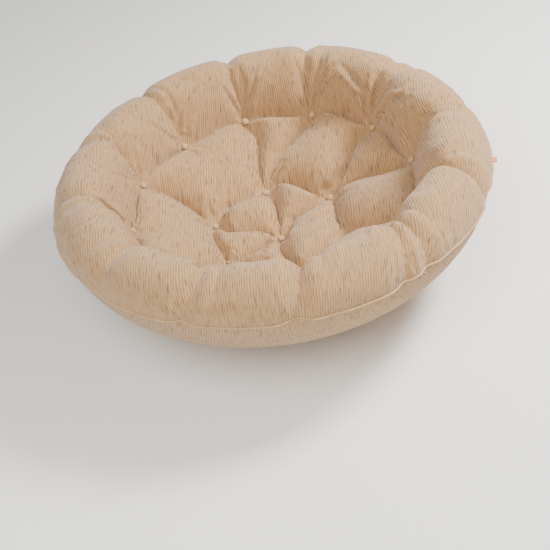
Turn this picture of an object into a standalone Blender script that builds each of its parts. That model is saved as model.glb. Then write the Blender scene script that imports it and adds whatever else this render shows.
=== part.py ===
"""Round button-tufted cushion for a bowl chair, in the dished shape that it takes in the bowl.

Metres, +Z up. The origin is the middle of the flat patch that the cushion stands on, and one tuft of the
inner ring lies towards +Y. The cushion is one soft body: two fabric panels sewn edge to edge round a fibre
filling, held down by a covered button and a knotted tie at each tuft.
"""

import math
from collections import namedtuple

import bmesh
import bpy
from mathutils import Vector
from mathutils.geometry import interpolate_bezier, intersect_point_line

# Overall shape. Radii are from the vertical axis.
SEAM_RADIUS = 0.575  # the edge seam, the widest circle
SEAM_HEIGHT = 0.300
ROLL_REACH = 0.099  # from the seam in to the crest of the edge roll
ROLL_RISE = 0.086  # from the seam up to that crest
ROLL_FOOT = 0.215  # from the seam in to where the hollow's floor turns up into the roll
PAD_THICKNESS = 0.115  # filled thickness under the hollow, between tufts
BOWL_RADIUS = 0.834  # the sphere that the underside lies on
REST_RADIUS = 0.110  # the flat patch at the bottom
PLEAT_DEPTH = 0.022  # dip in the roll where a pleat crosses it
PLEAT_SHARE = 1 / 3  # a pleat's half width, as a share of the space between two pleats

# Tufts
EDGE_TO_TUFTS = 0.183  # from the seam in to the outer ring of tufts
TUFTS_TO_SIDE = 0.108  # from that ring out to where the underside leaves the bowl's sphere
INNER_COUNT = 6
OUTER_COUNT = 12
CENTRE_DEPTH, CENTRE_LIFT = 0.045, 0.015  # how far a tuft sinks the top and lifts the underside
INNER_DEPTH, INNER_LIFT = 0.049, 0.012
OUTER_DEPTH, OUTER_LIFT = 0.034, 0.027
TOP_DIMPLE_REACH = 0.110
UNDER_DIMPLE_REACH = 0.060
TOP_SEAT = 0.016  # half the diagonal of the flat that a button sits on
UNDER_SEAT = 0.011

# Fabric, buttons, ties, seam and tab
FABRIC = 0.0015
CLEARANCE = 0.0003  # between pieces that touch
SEAM_GAP = 0.0012  # between the edges of the two panels
BUTTON_RADIUS = 0.009
BUTTON_HEIGHT = 0.0065
SHANK_RADIUS = 0.0020
SHANK_LENGTH = 0.0030
TIE_RADIUS = 0.0012
KNOT_RADIUS = 0.0050
KNOT_HEIGHT = 0.0070
HOLE_CLEARANCE = 0.0008  # round a shank, in the cover and the filling
THREAD_RADIUS = 0.0008
TAB_WIDTH = 0.020
TAB_LENGTH = 0.014
TAB_LAYER = 0.0005
TAB_LOOP = 0.0016  # between the middles of the tab's two layers
TAB_AZIMUTH = math.radians(-19)

# Facets
COLUMNS = 3 * OUTER_COUNT  # so that every tuft lies on a column of vertices
FLOOR_BANDS = 4  # rows of faces from the centre to the inner ring, and again to the outer ring
WALL_BANDS = 3  # from the outer ring up to the crest
ROLL_BANDS = 4  # from the crest down to the seam
SIDE_BANDS = 4  # from the seam down to the bowl's sphere
UNDER_BANDS = 4  # between the two rings underneath
FLAT_BANDS = 2  # from the inner ring underneath to the flat patch
BUTTON_STEPS = 10
DOME_STEPS = 3
TIE_STEPS = 6
KNOT_STEPS = 4
THREAD_STEPS = 6
TAB_STEPS = 6
MERGE_DISTANCE = 0.00005
BUTTON_CREASE = math.radians(50)  # edges sharper than this are shaded as edges
TIE_CREASE = math.radians(60)

CREST_RADIUS = SEAM_RADIUS - ROLL_REACH
CREST_HEIGHT = SEAM_HEIGHT + ROLL_RISE
FOOT_RADIUS = SEAM_RADIUS - ROLL_FOOT
OUTER_RING = SEAM_RADIUS - EDGE_TO_TUFTS
UNDER_RADIUS = OUTER_RING + TUFTS_TO_SIDE
INNER_RING = OUTER_RING / 2  # half way from the centre to the outer ring
HOLE_RADIUS = SHANK_RADIUS + HOLE_CLEARANCE
BOWL_SAG = BOWL_RADIUS - math.sqrt(BOWL_RADIUS**2 - REST_RADIUS**2)

Tuft = namedtuple("Tuft", "label top under axis")


def clear_scene():
    for thing in list(bpy.data.objects):
        bpy.data.objects.remove(thing)


def new_collection(name):
    group = bpy.data.collections.new(name)
    bpy.context.scene.collection.children.link(group)
    return group


def material(name, colour, roughness):
    made = bpy.data.materials.new(name)
    made.use_nodes = True
    shader = made.node_tree.nodes["Principled BSDF"]
    shader.inputs["Base Color"].default_value = (*colour, 1.0)
    shader.inputs["Roughness"].default_value = roughness
    shader.inputs["Metallic"].default_value = 0.0
    return made


def new_object(name, mesh, group, finish=None):
    made = bpy.data.objects.new(name, mesh)
    group.objects.link(made)
    if finish:
        mesh.materials.clear()
        mesh.materials.append(finish)
    return made


def smoothstep(t):
    t = min(max(t, 0.0), 1.0)
    return t * t * (3 - 2 * t)


def spaced(start, end, count):
    """count values that lead from start, which is left out, to end."""
    return [start + (end - start) * (i + 1) / count for i in range(count)]


# The turned shape, before tufting


def sphere_height(radius, sphere):
    return BOWL_RADIUS - math.sqrt(sphere**2 - radius**2)


def top_height(radius):
    """The hollow's floor runs parallel to the bowl, and rises into the crest of the roll."""
    floor = sphere_height(radius, BOWL_RADIUS - PAD_THICKNESS)
    rise = smoothstep((radius - FOOT_RADIUS) / (CREST_RADIUS - FOOT_RADIUS))
    return floor + (CREST_HEIGHT - floor) * rise


def under_height(radius):
    return max(0.0, sphere_height(radius, BOWL_RADIUS) - BOWL_SAG)


def roll_quarter(steps):
    """From the crest of the roll out and down to the top panel's edge."""
    edge = SEAM_HEIGHT + SEAM_GAP / 2
    for i in range(1, steps + 1):
        angle = math.pi / 2 * (1 - i / steps)
        yield (
            CREST_RADIUS + ROLL_REACH * math.cos(angle),
            edge + (CREST_HEIGHT - edge) * math.sin(angle),
        )


def under_side(steps):
    """From the bottom panel's edge down and in to the bowl's sphere, meeting it at its own slope."""
    edge = Vector((SEAM_RADIUS, SEAM_HEIGHT - SEAM_GAP / 2))
    foot = Vector((UNDER_RADIUS, under_height(UNDER_RADIUS)))
    slope = math.asin(UNDER_RADIUS / BOWL_RADIUS)
    reach = (edge - foot).length / 3
    along = Vector((math.cos(slope), math.sin(slope))) * reach
    curve = interpolate_bezier(edge, edge - Vector((0, reach)), foot + along, foot, steps + 1)
    return [tuple(point) for point in curve]


def profile(tufts):
    """The half section, from the axis at the top, over the roll and the seam, to the axis underneath."""
    tie_radii = {t.label.split("_")[0]: math.hypot(*t.under.xy) for t in tufts}
    top_radii = spaced(0, INNER_RING, FLOOR_BANDS) + spaced(INNER_RING, OUTER_RING, FLOOR_BANDS)
    top_radii += spaced(OUTER_RING, CREST_RADIUS, WALL_BANDS)
    under_radii = [tie_radii["outer"]]
    under_radii += spaced(tie_radii["outer"], tie_radii["inner"], UNDER_BANDS)
    under_radii += spaced(tie_radii["inner"], REST_RADIUS, FLAT_BANDS)
    under_radii += [UNDER_DIMPLE_REACH, UNDER_DIMPLE_REACH / 2, 0.0]
    points = [(0.0, top_height(0.0))]
    points += [(radius, top_height(radius)) for radius in top_radii]
    points += list(roll_quarter(ROLL_BANDS))
    points += under_side(SIDE_BANDS)
    points += [(radius, under_height(radius)) for radius in under_radii]
    return points


def turned(name, points, steps, group):
    """A profile at +X, turned about +Z and made a plain mesh object."""
    mesh = bpy.data.meshes.new(name)
    mesh.from_pydata([(x, 0, z) for x, z in points], [(i, i + 1) for i in range(len(points) - 1)], [])
    made = new_object(name, mesh, group)
    screw = made.modifiers.new("turn", "SCREW")
    screw.steps = screw.render_steps = steps
    screw.use_merge_vertices = True
    screw.merge_threshold = MERGE_DISTANCE
    made.data = evaluated_mesh(made)
    made.modifiers.clear()
    return made


def evaluated_mesh(thing):
    bpy.context.view_layer.update()
    graph = bpy.context.evaluated_depsgraph_get()
    return bpy.data.meshes.new_from_object(thing.evaluated_get(graph))


# Tufts


def make_tuft(label, radius, azimuth, depth, lift):
    """A tie runs along a radius of the bowl's sphere, from the dimple in the top to the one underneath."""
    height = top_height(radius) - depth
    under_radius = radius * BOWL_RADIUS / math.hypot(radius, BOWL_RADIUS - height)
    outward = Vector((math.cos(azimuth), math.sin(azimuth), 0))
    top = outward * radius + Vector((0, 0, height))
    under = outward * under_radius + Vector((0, 0, under_height(under_radius) + lift))
    return Tuft(label, top, under, (top - under).normalized())


def ring_of_tufts(name, count, radius, depth, lift, digits):
    """Numbered clockwise from +Y, seen from above."""
    for i in range(count):
        azimuth = math.pi / 2 - math.tau * i / count
        yield make_tuft(f"{name}_{i + 1:0{digits}d}", radius, azimuth, depth, lift)


def all_tufts():
    tufts = [make_tuft("centre", 0.0, 0.0, CENTRE_DEPTH, CENTRE_LIFT)]
    tufts += ring_of_tufts("inner", INNER_COUNT, INNER_RING, INNER_DEPTH, INNER_LIFT, 1)
    tufts += ring_of_tufts("outer", OUTER_COUNT, OUTER_RING, OUTER_DEPTH, OUTER_LIFT, 2)
    return tufts


def is_top(point):
    radius = math.hypot(point.x, point.y)
    if radius > CREST_RADIUS:
        return point.z > SEAM_HEIGHT
    return point.z > (top_height(radius) + under_height(radius)) / 2


def dimple(distance, reach):
    return max(0.0, 1 - (distance / reach) ** 2) ** 2


def pleat_dip(point):
    """How far the roll dips where a pleat runs from an outer tuft to the seam."""
    radius = math.hypot(point.x, point.y)
    across = (radius - OUTER_RING) / (SEAM_RADIUS - OUTER_RING)
    pitch = math.tau / OUTER_COUNT
    turn = (math.atan2(point.y, point.x) - math.pi / 2) / pitch
    nearness = dimple(abs(turn - round(turn)), PLEAT_SHARE)
    return PLEAT_DEPTH * nearness * math.sin(math.pi * min(max(across, 0.0), 1.0))


def pull_tufts(mesh, tufts):
    """Sinks the top and lifts the underside towards each tuft, and dips the roll at each pleat."""
    for vertex in mesh.vertices:
        point = vertex.co.copy()
        top = is_top(point)
        shift = -pleat_dip(point) if top else 0.0
        for tuft in tufts:
            end = tuft.top if top else tuft.under
            before = top_height(end.xy.length) if top else under_height(end.xy.length)
            reach = TOP_DIMPLE_REACH if top else UNDER_DIMPLE_REACH
            shift += (end.z - before) * dimple((point.xy - end.xy).length, reach)
        vertex.co.z += shift


def cut_seat(bm, end, axis, size, mark, hole_layer):
    """Cuts the vertex at one end of a tie into a small flat, square to the tie, round a marked hole face."""
    corner = min(bm.verts, key=lambda v: (v.co - end).length)
    cut = bmesh.ops.bevel(bm, geom=[corner], offset=size, segments=1, affect="VERTICES")
    for vertex in cut["verts"]:
        spoke = vertex.co - end
        spoke -= axis * spoke.dot(axis)
        vertex.co = end + spoke.normalized() * size
    rim = set(cut["verts"])
    seat = next(face for face in bm.faces if set(face.verts) == rim)
    nearest = [intersect_point_line(end, e.verts[0].co, e.verts[1].co)[0] for e in seat.edges]
    inner_radius = min((point - end).length for point in nearest)
    bm.normal_update()
    bmesh.ops.inset_individual(bm, faces=[seat], thickness=inner_radius - HOLE_RADIUS, use_even_offset=True)
    seat[hole_layer] = mark


def cut_seats(mesh, tufts):
    """Both of a tuft's hole faces carry its number, counted from 1. The rest is cut into triangles, so that
    the panels and the filling, which follow the same surface, bend along the same edges."""
    bm = bmesh.new()
    bm.from_mesh(mesh)
    hole_layer = bm.faces.layers.int.new("hole")
    for mark, tuft in enumerate(tufts, start=1):
        cut_seat(bm, tuft.top, tuft.axis, TOP_SEAT, mark, hole_layer)
        cut_seat(bm, tuft.under, tuft.axis, UNDER_SEAT, mark, hole_layer)
    bmesh.ops.triangulate(bm, faces=[face for face in bm.faces if not face[hole_layer]])
    bm.to_mesh(mesh)
    bm.free()


def make_envelope(tufts, group):
    """The whole outer surface of the cushion, closed, from which the panels and the filling are made."""
    envelope = turned("envelope", profile(tufts), COLUMNS, group)
    pull_tufts(envelope.data, tufts)
    cut_seats(envelope.data, tufts)
    envelope.hide_render = True
    envelope.display_type = "WIRE"
    return envelope


# Sub-parts


def on_seam_band(face):
    return all(abs(v.co.z - SEAM_HEIGHT) < SEAM_GAP for v in face.verts)


def on_top_panel(face):
    return not on_seam_band(face) and is_top(face.calc_center_median())


def on_bottom_panel(face):
    return not on_seam_band(face) and not is_top(face.calc_center_median())


def make_panel(name, envelope, wanted, group, finish):
    """One fabric panel: the envelope's faces that wanted picks, without the holes, as a thin shell."""
    mesh = envelope.data.copy()
    bm = bmesh.new()
    bm.from_mesh(mesh)
    hole_layer = bm.faces.layers.int["hole"]
    others = [face for face in bm.faces if face[hole_layer] or not wanted(face)]
    bmesh.ops.delete(bm, geom=others, context="FACES")
    bm.to_mesh(mesh)
    bm.free()
    made = new_object(name, mesh, group, finish)
    shell = made.modifiers.new("fabric", "SOLIDIFY")
    shell.thickness = FABRIC
    shell.offset = -1
    mesh.shade_smooth()


def make_filling(envelope, tufts, group, finish):
    """The fibre filling reaches the inside of the panels, and a channel runs through it for each tie."""
    mesh = envelope.data.copy()
    bm = bmesh.new()
    bm.from_mesh(mesh)
    bm.normal_update()
    inward = [-vertex.normal * (FABRIC + CLEARANCE) for vertex in bm.verts]
    for vertex, step in zip(bm.verts, inward, strict=True):
        vertex.co += step
    hole_layer = bm.faces.layers.int["hole"]
    for mark in range(1, len(tufts) + 1):
        mouths = [face for face in bm.faces if face[hole_layer] == mark]
        rims = [edge for face in mouths for edge in face.edges]
        bmesh.ops.delete(bm, geom=mouths, context="FACES_ONLY")
        bmesh.ops.bridge_loops(bm, edges=rims)
    bmesh.ops.recalc_face_normals(bm, faces=bm.faces)
    bm.to_mesh(mesh)
    bm.free()
    new_object("fibre_fill", mesh, group, finish)
    mesh.shade_smooth()


def button_profile():
    """A domed cap with a flat back and a short shank, from the dome's top to the shank's end."""
    rim = BUTTON_HEIGHT / 4
    dome = [
        (BUTTON_RADIUS * math.sin(a), rim + (BUTTON_HEIGHT - rim) * math.cos(a))
        for a in (math.pi / 2 * i / DOME_STEPS for i in range(DOME_STEPS + 1))
    ]
    back = BUTTON_RADIUS - rim
    return [*dome, (back, 0), (SHANK_RADIUS, 0), (SHANK_RADIUS, -SHANK_LENGTH), (0, -SHANK_LENGTH)]


def make_buttons(tufts, group, finish):
    pattern = turned("button_centre", button_profile(), BUTTON_STEPS, group)
    pattern.data.materials.append(finish)
    pattern.data.shade_smooth()
    pattern.data.set_sharp_from_angle(angle=BUTTON_CREASE)
    for tuft in tufts:
        button = pattern
        if tuft.label != "centre":
            button = new_object(f"button_{tuft.label}", pattern.data, group)
        button.location = tuft.top + tuft.axis * CLEARANCE
        button.rotation_euler = tuft.axis.to_track_quat("Z", "Y").to_euler()


def tie_profile(length):
    """A straight cord, from just under the button's shank, down to the knot that bears on the underside."""
    knot = [
        (KNOT_RADIUS * math.sin(a), -length + KNOT_HEIGHT / 2 * (math.cos(a) - 1))
        for a in (math.pi * i / KNOT_STEPS for i in range(1, KNOT_STEPS))
    ]
    neck = -length - CLEARANCE
    start = -SHANK_LENGTH - CLEARANCE
    return [(0, start), (TIE_RADIUS, start), (TIE_RADIUS, neck), *knot, (0, -length - KNOT_HEIGHT)]


def make_ties(tufts, group, finish):
    for tuft in tufts:
        length = (tuft.top - tuft.under).length + 2 * CLEARANCE
        tie = turned(f"tie_{tuft.label}", tie_profile(length), TIE_STEPS, group)
        tie.data.materials.append(finish)
        tie.data.shade_smooth()
        tie.data.set_sharp_from_angle(angle=TIE_CREASE)
        tie.location = tuft.top + tuft.axis * CLEARANCE
        tie.rotation_euler = tuft.axis.to_track_quat("Z", "Y").to_euler()


def make_seam_thread(group, finish):
    """The line of stitching, a thin ring in the groove between the two panels."""
    middle = SEAM_RADIUS + CLEARANCE + THREAD_RADIUS
    bpy.ops.mesh.primitive_torus_add(
        major_segments=COLUMNS,
        minor_segments=THREAD_STEPS,
        major_radius=middle,
        minor_radius=THREAD_RADIUS,
        location=(0, 0, SEAM_HEIGHT),
    )
    thread = bpy.context.object
    thread.name = "edge_seam_thread"
    for holder in list(thread.users_collection):
        holder.objects.unlink(thread)
    group.objects.link(thread)
    thread.data.materials.append(finish)
    thread.data.shade_smooth()


def make_tab(group, finish):
    """A short ribbon folded double, with its fold outwards and its ends at the seam."""
    start = CLEARANCE
    end = TAB_LENGTH - TAB_LOOP / 2
    half = TAB_LOOP / 2
    turns = [math.pi * i / TAB_STEPS for i in range(TAB_STEPS + 1)]
    bend = [(end + half * math.sin(a), half * math.cos(a)) for a in turns]
    path = [(start, half), *bend, (start, -half)]
    mesh = bpy.data.meshes.new("label_tab")
    bm = bmesh.new()
    verts = [bm.verts.new((x, -TAB_WIDTH / 2, z)) for x, z in path]
    edges = [bm.edges.new(pair) for pair in zip(verts, verts[1:], strict=False)]
    strip = bmesh.ops.extrude_edge_only(bm, edges=edges)
    moved = [item for item in strip["geom"] if isinstance(item, bmesh.types.BMVert)]
    bmesh.ops.translate(bm, verts=moved, vec=(0, TAB_WIDTH, 0))
    bmesh.ops.recalc_face_normals(bm, faces=bm.faces)
    bm.to_mesh(mesh)
    bm.free()
    tab = new_object("label_tab", mesh, group, finish)
    layer = tab.modifiers.new("ribbon", "SOLIDIFY")
    layer.thickness = TAB_LAYER
    layer.offset = 0
    seam_front = SEAM_RADIUS + 2 * (CLEARANCE + THREAD_RADIUS)
    tab.location = (
        seam_front * math.cos(TAB_AZIMUTH),
        seam_front * math.sin(TAB_AZIMUTH),
        SEAM_HEIGHT,
    )
    tab.rotation_euler = (0, 0, TAB_AZIMUTH)


def main():
    clear_scene()
    cushion = new_collection("tufted_cushion")
    guides = new_collection("guides")
    cloth = material("slub weave", (0.50, 0.35, 0.22), 0.95)
    fibre = material("polyester fibre", (0.85, 0.85, 0.83), 0.90)
    cord = material("waxed twine", (0.62, 0.55, 0.42), 0.60)
    thread = material("sewing thread", (0.45, 0.33, 0.21), 0.70)
    ribbon = material("tab ribbon", (0.72, 0.33, 0.27), 0.75)

    tufts = all_tufts()
    envelope = make_envelope(tufts, guides)
    make_panel("top_cover", envelope, on_top_panel, cushion, cloth)
    make_panel("bottom_cover", envelope, on_bottom_panel, cushion, cloth)
    make_filling(envelope, tufts, cushion, fibre)
    make_buttons(tufts, cushion, cloth)
    make_ties(tufts, cushion, cord)
    make_seam_thread(cushion, thread)
    make_tab(cushion, ribbon)


main()
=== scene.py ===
import math

import bmesh
import bpy
import numpy as np
from mathutils import Matrix, Vector


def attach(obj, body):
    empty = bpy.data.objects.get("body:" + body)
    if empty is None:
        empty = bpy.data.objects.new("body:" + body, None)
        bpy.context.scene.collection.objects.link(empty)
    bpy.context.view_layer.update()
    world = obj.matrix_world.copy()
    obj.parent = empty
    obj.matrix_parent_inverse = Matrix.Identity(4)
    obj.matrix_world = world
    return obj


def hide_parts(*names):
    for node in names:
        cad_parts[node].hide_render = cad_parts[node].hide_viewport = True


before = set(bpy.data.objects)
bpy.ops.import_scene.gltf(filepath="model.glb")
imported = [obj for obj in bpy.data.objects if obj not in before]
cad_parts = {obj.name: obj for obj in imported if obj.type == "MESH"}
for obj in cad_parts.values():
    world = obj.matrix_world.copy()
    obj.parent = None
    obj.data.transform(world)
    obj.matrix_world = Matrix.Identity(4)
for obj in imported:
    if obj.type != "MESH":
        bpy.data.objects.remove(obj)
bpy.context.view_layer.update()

# The pad's driving sizes in metres: the same values as the CAD model's.
SEAM_RADIUS = 0.575
SEAM_HEIGHT = 0.300
CREST_RADIUS = 0.476
CREST_HEIGHT = 0.386
FOOT_RADIUS = 0.360
PAD_THICKNESS = 0.115
BOWL_RADIUS = 0.834
REST_RADIUS = 0.110
SIDE_RADIUS = 0.500
OUTER_RING = 0.392
INNER_RING = 0.196
CENTRE_DEPTH, INNER_DEPTH, OUTER_DEPTH = 0.045, 0.049, 0.034
CENTRE_LIFT, INNER_LIFT, OUTER_LIFT = 0.015, 0.012, 0.027
TOP_DIMPLE, UNDER_DIMPLE = 0.110, 0.060
INNER_COUNT, OUTER_COUNT = 6, 12
BOWL_SAG = BOWL_RADIUS - math.sqrt(BOWL_RADIUS ** 2 - REST_RADIUS ** 2)

# The cloth: rings of points from the centre to the seam, and the ring on each tuft circle.
UNDER_RINGS = 48
INNER_MARK, OUTER_MARK = 13, 28
TOP_RINGS = 2 * UNDER_RINGS
GATHER = 0.18  # extra cloth round the edge, as a share
SLACK = 0.06  # extra cloth everywhere, as a share
PRESSURE = 20.0
STIFF = 12.0
BENDING = 0.05
MASS = 0.003
HOLD = 0.5  # how firmly a crease is held, where 1 is fixed
GROOVE = 0.060  # half the width of the dip along a crease
PUFF = 0.016  # rise of the cloth midway between creases
TUCK = 0.010  # extra depth of the crease line itself
FRAMES = 22

SEAM_LIP = 0.0045
STITCH_PITCH = 0.0052
BUTTON_RADIUS = 0.0100
BUTTON_HEIGHT = 0.0090
FILL_INSET = 0.010  # from a cover in to the filling
FILL_CLEAR = 2  # rings of neighbours that the filling stays below, or above
FILL_THIN = 0.004  # the least thickness of the filling
FLOOR_GAP = 0.0004  # from the floor up to the resting patch
CORD_RADIUS = 0.0012
TAB_TURN = math.radians(-19.0)
TAB_LENGTH, TAB_WIDTH = 0.016, 0.020
RIB_TURN = math.radians(79.5)
RIB_PITCH = 0.0072
WEFT_PITCH = 0.0026


# ---------------------------------------------------------------- the resting surface

def smooth(value):
    value = np.clip(value, 0.0, 1.0)
    return value * value * (3.0 - 2.0 * value)


def bowl(radius, sphere):
    return BOWL_RADIUS - np.sqrt(sphere * sphere - radius * radius)


def top_height(radius):
    """Height of the undimpled top: a dish that rises to the crest and turns down to the seam."""
    radius = np.asarray(radius, dtype=float)
    dish = bowl(np.minimum(radius, CREST_RADIUS), BOWL_RADIUS - PAD_THICKNESS)
    rise = smooth((radius - FOOT_RADIUS) / (CREST_RADIUS - FOOT_RADIUS))
    inside = dish + (CREST_HEIGHT - dish) * rise
    reach = np.clip((radius - CREST_RADIUS) / (SEAM_RADIUS - CREST_RADIUS), 0.0, 1.0)
    outside = SEAM_HEIGHT + (CREST_HEIGHT - SEAM_HEIGHT) * np.sqrt(1.0 - reach ** 2)
    return np.where(radius <= CREST_RADIUS, inside, outside)


def under_height(radius):
    radius = np.asarray(radius, dtype=float)
    return np.maximum(0.0, bowl(radius, BOWL_RADIUS) - BOWL_SAG)


def top_line():
    """Half section of the top from the centre to the seam, as radius and height."""
    radius = np.linspace(0.0, CREST_RADIUS, 200)
    turn = np.linspace(math.pi / 2, 0.0, 60)[1:]
    return np.concatenate([
        np.stack([radius, top_height(radius)], 1),
        np.stack([CREST_RADIUS + (SEAM_RADIUS - CREST_RADIUS) * np.cos(turn),
                  SEAM_HEIGHT + (CREST_HEIGHT - SEAM_HEIGHT) * np.sin(turn)], 1)])


def under_line():
    """Half section of the underside from the centre to the seam."""
    radius = np.linspace(0.0, SIDE_RADIUS, 160)
    flat = np.stack([radius, under_height(radius)], 1)
    seam = np.array([SEAM_RADIUS, SEAM_HEIGHT])
    foot = flat[-1]
    slope = math.asin(SIDE_RADIUS / BOWL_RADIUS)
    reach = np.linalg.norm(seam - foot) / 3.0
    first = foot + np.array([math.cos(slope), math.sin(slope)]) * reach
    second = seam - np.array([0.0, reach])
    t = np.linspace(0.0, 1.0, 60)[1:, None]
    side = (1 - t) ** 3 * foot + 3 * (1 - t) ** 2 * t * first + 3 * (1 - t) * t * t * second + t ** 3 * seam
    return np.concatenate([flat, side])


class Section:
    """A half section with its arc length, for laying rings at even spacing."""

    def __init__(self, line):
        self.line = line
        step = np.hypot(*np.diff(line, axis=0).T)
        self.arc = np.concatenate([[0.0], np.cumsum(step)])

    def at(self, arc):
        return np.interp(arc, self.arc, self.line[:, 0]), np.interp(arc, self.arc, self.line[:, 1])

    def normal(self, arc):
        """Outward normal of the half section, as its radial and vertical parts."""
        r0, z0 = self.at(np.asarray(arc) - 0.004)
        r1, z1 = self.at(np.asarray(arc) + 0.004)
        length = np.hypot(r1 - r0, z1 - z0) + 1e-9
        return -(z1 - z0) / length, (r1 - r0) / length

    def arc_at(self, radius):
        return float(np.interp(radius, self.line[:, 0], self.arc))


TOP = Section(top_line())
UNDER = Section(under_line())


# ---------------------------------------------------------------- the tufts

def tuft(radius, turn, depth, lift):
    height = float(top_height(radius)) - depth
    under = radius * BOWL_RADIUS / math.hypot(radius, BOWL_RADIUS - height)
    out = np.array([math.cos(turn), math.sin(turn), 0.0])
    top = out * radius + np.array([0.0, 0.0, height])
    foot = out * under + np.array([0.0, 0.0, float(under_height(under)) + lift])
    return top, foot


def ring_turn(index, count):
    return math.pi / 2 - math.tau * index / count


TUFTS = {"centre": tuft(0.0, 0.0, CENTRE_DEPTH, CENTRE_LIFT)}
for i in range(INNER_COUNT):
    TUFTS["inner_%d" % (i + 1)] = tuft(INNER_RING, ring_turn(i, INNER_COUNT), INNER_DEPTH, INNER_LIFT)
for i in range(OUTER_COUNT):
    TUFTS["outer_%02d" % (i + 1)] = tuft(OUTER_RING, ring_turn(i, OUTER_COUNT), OUTER_DEPTH, OUTER_LIFT)


def unrolled(name):
    """A tuft's place on the top laid flat: arc length from the centre, at its own angle."""
    top = TUFTS[name][0]
    radius = math.hypot(top[0], top[1])
    turn = math.atan2(top[1], top[0])
    return np.array([math.cos(turn), math.sin(turn)]) * TOP.arc_at(radius)


# Creases between tufts: the two tufts, the depth at mid span, the sideways bow and the S bend.
CREASES = [
    ("centre", "inner_1", 0.034, -0.014, 0.004),
    ("centre", "inner_2", 0.034, 0.002, 0.010),
    ("centre", "inner_4", 0.032, -0.012, -0.006),
    ("centre", "inner_5", 0.032, 0.014, 0.008),
    ("centre", "inner_6", 0.034, 0.016, -0.014),
    ("inner_1", "inner_2", 0.036, 0.022, 0.012),
    ("inner_2", "inner_3", 0.028, -0.006, 0.006),
    ("inner_3", "inner_4", 0.026, 0.012, 0.006),
    ("inner_4", "inner_5", 0.030, -0.012, 0.008),
    ("inner_5", "inner_6", 0.026, 0.010, -0.006),
    ("inner_6", "inner_1", 0.032, 0.012, 0.008),
    ("outer_01", "inner_1", 0.034, 0.014, 0.010),
    ("outer_03", "inner_2", 0.034, -0.024, -0.014),
    ("outer_05", "inner_3", 0.024, 0.010, 0.006),
    ("outer_07", "inner_4", 0.028, -0.010, 0.006),
    ("outer_09", "inner_5", 0.026, 0.010, -0.006),
    ("outer_11", "inner_6", 0.034, 0.030, 0.006),
    ("outer_02", "inner_1", 0.026, -0.018, 0.006),
    ("outer_04", "inner_2", 0.030, -0.016, 0.006),
    ("outer_06", "inner_4", 0.020, -0.010, 0.006),
    ("outer_08", "inner_5", 0.024, -0.010, 0.004),
    ("outer_12", "outer_01", 0.030, 0.010, -0.006),
    ("outer_01", "outer_02", 0.030, 0.010, 0.004),
    ("outer_02", "outer_03", 0.032, 0.020, 0.004),
    ("outer_03", "outer_04", 0.032, 0.004, 0.008),
    ("outer_04", "outer_05", 0.028, -0.006, 0.002),
    ("outer_05", "outer_06", 0.026, 0.008, 0.004),
    ("outer_06", "outer_07", 0.024, 0.008, -0.004),
    ("outer_07", "outer_08", 0.026, -0.006, 0.004),
    ("outer_08", "outer_09", 0.026, 0.008, 0.004),
    ("outer_09", "outer_10", 0.028, 0.012, 0.006),
    ("outer_10", "outer_11", 0.030, 0.004, -0.006),
    ("outer_11", "outer_12", 0.032, 0.014, 0.004),
]

# Pleats over the roll: the tuft, the depth on the crest, how far along the seam the pleat
# ends, its sideways bow, and how much of the way to the seam it runs.
PLEATS = [
    ("outer_01", 0.013, -0.004, 0.014, 1.00),
    ("outer_02", 0.014, 0.045, 0.012, 1.00),
    ("outer_02", 0.008, -0.030, -0.010, 0.60),
    ("outer_03", 0.014, 0.022, 0.014, 1.00),
    ("outer_03", 0.011, -0.036, -0.012, 0.90),
    ("outer_04", 0.014, 0.022, 0.018, 0.92),
    ("outer_04", 0.010, -0.050, 0.010, 0.70),
    ("outer_05", 0.022, -0.040, 0.012, 1.00),
    ("outer_05", 0.010, 0.040, -0.010, 0.66),
    ("outer_06", 0.018, -0.028, 0.012, 1.00),
    ("outer_06", 0.016, -0.100, 0.014, 1.00),
    ("outer_06", 0.010, 0.050, 0.014, 0.70),
    ("outer_07", 0.026, -0.066, 0.004, 1.00),
    ("outer_07", 0.009, 0.020, 0.012, 0.60),
    ("outer_08", 0.016, -0.034, 0.018, 1.00),
    ("outer_08", 0.009, 0.050, 0.012, 0.72),
    ("outer_09", 0.014, 0.020, 0.018, 0.88),
    ("outer_09", 0.009, -0.050, 0.012, 0.66),
    ("outer_10", 0.011, -0.022, 0.016, 0.84),
    ("outer_10", 0.008, 0.046, 0.012, 0.70),
    ("outer_11", 0.012, 0.016, -0.016, 0.80),
    ("outer_11", 0.008, -0.052, 0.012, 0.62),
    ("outer_12", 0.013, 0.010, 0.014, 1.00),
    ("outer_12", 0.007, 0.066, -0.010, 0.66),
]


def crease_path(first, last, bow, bend, count=48):
    """Points of one crease on the flattened top, from the first tuft to the last."""
    a, b = unrolled(first), unrolled(last)
    across = np.array([-(b - a)[1], (b - a)[0]]) / np.linalg.norm(b - a)
    t = np.linspace(0.0, 1.0, count)[:, None]
    return a + (b - a) * t + across * (bow * np.sin(math.pi * t) + bend * np.sin(math.tau * t)), t[:, 0]


def pleat_path(name, shift, bow, run, count=48):
    a = unrolled(name)
    start = np.linalg.norm(a)
    turn = math.atan2(a[1], a[0])
    t = np.linspace(0.0, 1.0, count)
    arc = start + (TOP.arc[-1] - start) * run * t
    side = shift * t + bow * np.sin(math.pi * t)
    angle = turn + side / SEAM_RADIUS
    return np.stack([np.cos(angle), np.sin(angle)], 1) * arc[:, None], t


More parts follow.
